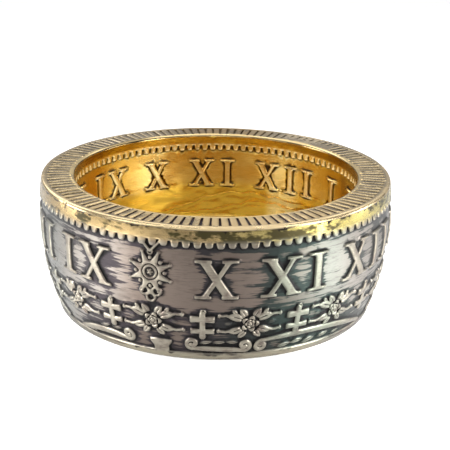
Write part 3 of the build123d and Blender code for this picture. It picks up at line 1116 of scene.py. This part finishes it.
# Painted highlight: the clean field turns lighter towards both sides. Painted reflection: tarnish and
# corner lines turn lighter near the far sides.
side_sheen = fade(drifted(off_middle, 3.0), 4.0, 8.5)
far_side_sheen = fade(off_middle, 7.5, 10.8)
clean_and_side_sheen = mixed(scuffs, mixed(side_sheen, RUBBED, SIDE_SHEEN_SILVER), mixed(side_sheen, SCUFFED, SIDE_SHEEN_SCUFFED))
line_and_far_sheen = mixed(far_side_sheen, LINE, FAR_SHEEN_LINE)
tarnish_and_far_sheen = mixed(deep, mixed(far_side_sheen, tarnish, FAR_SHEEN_TARNISH), line_and_far_sheen)
field_colour = mixed(tarnished, clean_and_side_sheen, tarnish_and_far_sheen)
worn_top = fade(plus(speck, times(fine_brushed, 0.6)), -0.30, 0.10)
crest = mixed(fade(level, legend_z - 0.1, chain_mid), TOP_SILVER, CHAIN_SILVER)
wall_colour = mixed(raised, field_colour, mixed(worn_top, RUBBED, crest))
green_side = times(fade(drifted(east, 3.0), 2.6, 4.4), fade(east, 9.0, 6.8))
cool_side = fade(drifted(east, 3.0), -8.6, -10.0)
wall_colour = tinted(green_side, wall_colour, GREEN_TINT)
wall_colour = tinted(cool_side, wall_colour, COOL_TINT)
wall_colour = mixed(corners, wall_colour, line_and_far_sheen)

# %% Colours of the rim and the lip
RIM_GOLD = (0.430, 0.305, 0.135)
RIM_YELLOW = (0.500, 0.410, 0.130)
RIM_STAIN = (0.060, 0.048, 0.014)
LIP_SILVER = (0.330, 0.298, 0.222)
LIP_WEST = (0.160, 0.148, 0.116)
LIP_EAST = (0.240, 0.232, 0.195)
front_stain = times(fade(drifted(east, 4.0), -5.0, 1.0), fade(east, 9.0, 5.0))
mottle = plus(plus(times(cloud, 0.5), times(blots, 1.5)), plus(times(brushed, 0.4), times(speck, 0.5)))
stain = fade(plus(mottle, times(front_stain, 0.18)), 0.05, 0.26)
rim_gold = mixed(fade(drifted(east, 3.0), -1.0, 5.0), RIM_GOLD, RIM_YELLOW)
rim_colour = layered(rim_gold, (stain, RIM_STAIN), (corners, LINE))
lip_wear = fade(plus(plus(brushed, cloud), times(blots, 0.8)), 0.02, 0.26)
lip_side = mixed(fade(east, -1.0, 1.0), LIP_WEST, LIP_EAST)
lip_marks = plus(plus(times(blots, 1.5), times(speck, 0.8)), times(fade(level, 0.15, 0.60), 0.30))
lip_colour = layered(
    LIP_SILVER,
    (fade(off_middle, 4.5, 8.5), lip_side),
    (lip_wear, SCUFFED),
    (fade(lip_marks, 0.32, 0.46), LINE),
)

# %% [markdown]
# The reeded face. The ridges are pale gold, painted greyer at the back as painted shade,
# and smoked in one place there. The plain edge outside the reeds and the margin inside
# them are rubbed to a bright gold, the edge painted lighter still as a painted highlight,
# with one stain on the margin at the back left.

# %% Colours of the reeded face
# Rubbed gold, lightened on the outer rounded edge as a painted highlight.
EDGE_HIGHLIGHT_GOLD = (0.820, 0.640, 0.370)
MARGIN_GOLD = (0.920, 0.710, 0.360)
STAINED_GOLD = (0.160, 0.115, 0.050)
PALE_GOLD = (0.640, 0.484, 0.262)
SIDE_GOLD = (0.520, 0.410, 0.243)
BACK_SHADE_GOLD = (0.490, 0.400, 0.265)
PALE_BACK = (0.600, 0.495, 0.340)
SMOKED_GOLD = (0.360, 0.256, 0.140)
PLUM = (0.026, 0.014, 0.022)
GROOVE_GOLD = (0.105, 0.070, 0.028)
at_sides = times(fade(drifted(north, 3.0), -8.0, -3.0), fade(level, height - 0.10, height - 0.02))
# Painted shade: the face is darker towards the back.
back_shade = fade(drifted(north, 4.0), 2.0, 8.0)
rubbed_back = times(fade(north, 6.0, 9.0), fade(east, 3.5, 5.5))
smoked = times(times(fade(north, 8.0, 10.0), fade(east, -5.0, -1.0)), fade(drifted(east, 5.0), 5.0, 2.0))
margin_stain = times(times(fade(east, -4.0, -6.0), fade(north, 4.2, 6.0)), 0.75)
margin_colour = mixed(margin_stain, MARGIN_GOLD, STAINED_GOLD)
groove = mixed(fade(drifted(north, 2.0), -7.5, -5.0), PLUM, GROOVE_GOLD)
face_colour = layered(
    PALE_GOLD,
    (at_sides, SIDE_GOLD),
    (back_shade, BACK_SHADE_GOLD),
    (rubbed_back, PALE_BACK),
    (smoked, SMOKED_GOLD),
    (fade(radius, face_high + 0.05, face_high + 0.22), EDGE_HIGHLIGHT_GOLD),
    (fade(radius, face_low + 0.12, face_low), margin_colour),
    (fade(attribute("share"), -0.14, -0.45), groove),
)

# %% [markdown]
# The bore. It is toned a deep gold that gets stronger below the numerals and in the band
# over the teeth. The tops of numerals and teeth are worn paler, and towards the sides they
# are painted paler still as a painted highlight. The corners are brown, and two stretches
# at the back are painted a brighter yellow as painted reflections.

# %% Colours of the bore
GOLD = (0.80, 0.57, 0.17)
DEEP_GOLD = (0.70, 0.44, 0.10)
WORN_GOLD = (0.95, 0.78, 0.43)
LOW_GOLD = (0.76, 0.48, 0.060)
GLINT_GOLD = (0.98, 0.80, 0.34)
UPPER_GOLD = (0.740, 0.460, 0.060)
UPPER_SIDE = (0.500, 0.290, 0.030)
BROWN = (0.062, 0.032, 0.010)
inner_low = field_top - legend_gap - inner_cap_h
# Painted reflections: two bright yellow patches at the back of the bore, left and right, lighten its
# colour.
glint_east = between(east, 3.6, 4.6, 5.4, 6.6)
glint_west = between(east, -8.6, -6.8, -4.6, -3.4)
glint_west = times(glint_west, fade(level, inner_low - 0.5, inner_low + 0.4))
painted_glints = times(times(fade(north, 3.0, 6.0), plus(glint_east, glint_west)), 0.8)
in_teeth = between(level, field_top - 0.4, field_top - 0.2, tooth_top - 0.05, tooth_top + 0.05)
# Tops worn paler, and paler still towards the sides as a painted highlight.
wear_and_side_highlight = plus(0.25, times(fade(off_middle, 2.5, 6.0), 0.45))
bore_colour = layered(
    GOLD,
    (fade(plus(cloud, times(speck, 0.3)), -0.12, 0.15), DEEP_GOLD),
    (fade(level, inner_low + 0.7, inner_low - 0.3), LOW_GOLD),
    (painted_glints, GLINT_GOLD),
    (times(raised, plus(wear_and_side_highlight, times(in_teeth, 0.50))), WORN_GOLD),
    (between(level, tooth_top - 0.02, field_end, edge_low, edge_high),
     mixed(fade(off_middle, 3.5, 7.5), UPPER_GOLD, UPPER_SIDE)),
    (fade(level, edge_low, edge_high), margin_colour),
    (corners, BROWN),
)
metal_colour = layered(
    wall_colour,
    (on_rim, rim_colour),
    (on_lip, lip_colour),
    (on_top, face_colour),
    (in_bore, bore_colour),
)

# %% [markdown]
# Gloss. Rubbed metal is fairly smooth and tarnish is dull. Fine scratches round the ring
# are bump, because they are a few hundredths of a millimetre wide. The outer wall has a
# thin, dull coat as well, the film that handling leaves, and the gloss is stretched round
# the ring, the way a cloth goes.

# %% Gloss and scratches
dull = times(tarnished, sums("SUBTRACT", 1.0, raised))
wall_gloss = plus(level_of(dull, 0.36, 0.52), times(fine_brushed, 0.20))
rim_gloss = level_of(stain, 0.25, 0.42)
gloss = level_of(in_bore, level_of(on_rim, wall_gloss, rim_gloss), 0.20)
bump = node("ShaderNodeBump")
join(plus(fine_brushed, times(speck, 0.6)), bump.inputs["Height"])
for name, value in (("Strength", 0.30), ("Distance", 0.00002)):
    bump.inputs[name].default_value = value
shader = node("ShaderNodeBsdfPrincipled")
film = times(sums("SUBTRACT", 1.0, in_bore), sums("SUBTRACT", 1.0, on_top))
round_axis = node("ShaderNodeTangent", direction_type="RADIAL", axis="Z")
for name, value in (
    ("Base Color", metal_colour),
    ("Metallic", 1.0),
    ("Roughness", gloss),
    ("Normal", bump.outputs["Normal"]),
    ("Coat Weight", times(film, 0.8)),
    ("Coat Roughness", 0.45),
    ("Coat IOR", 1.28),
    ("Anisotropic", 0.60),
    ("Anisotropic Rotation", 0.25),
    ("Tangent", round_axis.outputs["Tangent"]),
):
    join(value, shader.inputs[name])
output = node("ShaderNodeOutputMaterial")
join(shader.outputs["BSDF"], output.inputs["Surface"])
print("material nodes", len(tree.nodes))

# %% The ring in its frame
ring = bpy.data.objects.new("coin_ring_metal", ring_mesh)
bpy.context.scene.collection.objects.link(ring)
ring_mesh.materials.append(material)
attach(ring, "root")
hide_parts("coin_ring")

# %% [markdown]
# The stage. A pale floor, a pale surround, and large soft lights, as in a small product
# studio. Metal shows what surrounds it, so the lights are large, the world isn't black, and
# it is brighter low at the back. The floor glows a little, only where the camera sees it,
# so that the ground of the picture stays pale and the ring isn't lit from below.

# %% Floor
FLOOR = 0.6
CORNERS = [(-FLOOR, -FLOOR, 0), (FLOOR, -FLOOR, 0), (FLOOR, FLOOR, 0), (-FLOOR, FLOOR, 0)]
floor_mesh = bpy.data.meshes.new("floor")
floor_mesh.from_pydata(CORNERS, [], [(0, 1, 2, 3)])
floor = bpy.data.objects.new("floor", floor_mesh)
bpy.context.scene.collection.objects.link(floor)
floor_material = bpy.data.materials.new("pale_floor")
floor_material.use_nodes = True
tree = floor_material.node_tree
floor_shader = tree.nodes["Principled BSDF"]
seen = node("ShaderNodeLightPath").outputs["Is Camera Ray"]
for name, value in (
    ("Base Color", (0.90, 0.90, 0.90)),
    ("Roughness", 0.7),
    ("Emission Color", (1, 1, 1)),
    ("Emission Strength", times(seen, 0.45)),
):
    join(value, floor_shader.inputs[name])
floor_mesh.materials.append(floor_material)
print("floor", 2 * FLOOR, "m wide")

# %% World
world = bpy.data.worlds.new("studio")
world.use_nodes = True
tree = world.node_tree
sky = node("ShaderNodeSeparateXYZ")
join(node("ShaderNodeTexCoord").outputs["Generated"], sky.inputs[0])
sky_rise = ramp(sky.outputs["Z"], 0.20, 0.45, 0.10, 0.38)
sky_back = ramp(sky.outputs["Y"], 0.72, 0.90)
sky_low = ramp(sky.outputs["Z"], 0.46, 0.32, 0.0, 0.28)
backdrop = tree.nodes["Background"]
join((1, 1, 1), backdrop.inputs["Color"])
join(plus(sky_rise, times(sky_back, sky_low)), backdrop.inputs["Strength"])
bpy.context.scene.world = world
bpy.context.scene.view_settings.view_transform = "Standard"
print("world nodes", len(tree.nodes))

# %% [markdown]
# The lights. Soft ones stand over, before, behind and beside the ring, and two small ones
# hang low to light the floor beside it. Two narrow beams cross over the rim and draw the
# bright patches in the hollow. The soft ones aren't seen themselves.

# %% Lights
SOFT_LIGHTS = (
    # name, place, spot it looks at and size in millimetres, and power in watts
    ("over", (0, 60, 75), (0, 0, 0), (110, 60), 0.012),
    ("front", (0, -110, 55), (0, 0, 8), (120, 50), 0.020),
    ("left_top", (-55, -40, 55), (0, 0, 5), (40, 40), 0.010),
    ("right_top", (55, -40, 55), (0, 0, 5), (40, 40), 0.010),
    ("strip", (0, -30, 100), (0, 0, 5), (90, 22), 0.015),
    ("far", (0, 150, 190), (0, 140, 0), (300, 120), 0.12),
    ("left", (-76, 6, 16), (0, 0, 7), (30, 26), 0.014),
    ("right", (76, 10, 16), (0, 0, 7), (30, 26), 0.013),
    ("right_low", (64, -38, 14), (0, 0, 7), (22, 22), 0.013),
    ("left_floor", (-22, -17, 9), (-22, -17, 0), (12, 14), 0.009),
    ("right_floor", (22, -16, 9), (22, -16, 0), (12, 14), 0.008),
    ("left_back", (-62, 58, 52), (0, 0, 5), (60, 50), 0.013),
    ("right_back", (62, 58, 52), (0, 0, 5), (60, 50), 0.003),
)
BEAMS = (
    # name, place and spot it looks at, width of the beam in degrees, and power in watts
    ("left_beam", (-30, -20, 60), (7.0, 0.3, 0), 4.0, 0.72),
    ("right_beam", (30, -20, 60), (-7.0, 0.3, 0), 3.4, 0.62),
)


def lamp(name, kind, from_mm, to_mm, power, **settings):
    """A light at one spot that looks at another."""
    data = bpy.data.lights.new(name, kind)
    data.energy = power
    for key, value in settings.items():
        setattr(data, key, value)
    made = bpy.data.objects.new(name, data)
    made.location = Vector(from_mm) * MM
    turn = (Vector(to_mm) * MM - Vector(from_mm) * MM).to_track_quat("-Z", "Y")
    made.rotation_euler = turn.to_euler()
    bpy.context.scene.collection.objects.link(made)
    return made


for name, from_mm, to_mm, (wide, tall), power in SOFT_LIGHTS:
    size = dict(shape="RECTANGLE", size=wide * MM, size_y=tall * MM)
    lamp(name, "AREA", from_mm, to_mm, power, **size).visible_camera = False
for name, from_mm, to_mm, degrees, power in BEAMS:
    beam = dict(spot_size=np.radians(degrees), spot_blend=0.12, shadow_soft_size=0.5 * MM)
    lamp(name, "SPOT", from_mm, to_mm, power, **beam)
print("lights", len(SOFT_LIGHTS) + len(BEAMS))

# %% [markdown]
# The camera stands about 78 mm from the ring, 20 degrees above its middle, as worked out
# from the ring's outline and its evenly spaced reeds. It looks a little past the ring's
# middle, up and to the right, because the ring sits low and left in the picture, and it is
# turned by less than a degree.

# %% Camera
IMAGE = 450
FOCAL = 1132.7
away, rise, roll = 77.92, np.radians(19.812), np.radians(0.827)
seen_at = (215.23, 234.97)
centre = Vector((0, 0, 4.35))
back = Vector((0, -np.cos(rise), np.sin(rise)))
right = Vector((1, 0, 0))
up = Vector((0, np.sin(rise), np.cos(rise)))
turned_right = right * np.cos(roll) + up * np.sin(roll)
turned_up = up * np.cos(roll) - right * np.sin(roll)
eye = centre + back * away
aim = (centre + turned_right * ((IMAGE / 2 - seen_at[0]) * away / FOCAL)
       + turned_up * ((seen_at[1] - IMAGE / 2) * away / FOCAL))
look = (aim - eye).normalized()
side = look.cross(turned_up).normalized()
top = side.cross(look)
camera_data = bpy.data.cameras.new("camera")
camera_data.sensor_width = 36
camera_data.lens = 36 * FOCAL / IMAGE
camera_data.clip_start = 0.001
camera = bpy.data.objects.new("camera", camera_data)
camera.matrix_world = Matrix.Translation(eye * MM) @ Matrix((side, top, -look)).transposed().to_4x4()
bpy.context.scene.collection.objects.link(camera)
bpy.context.scene.camera = camera
print("lens", round(camera_data.lens, 1), "mm")
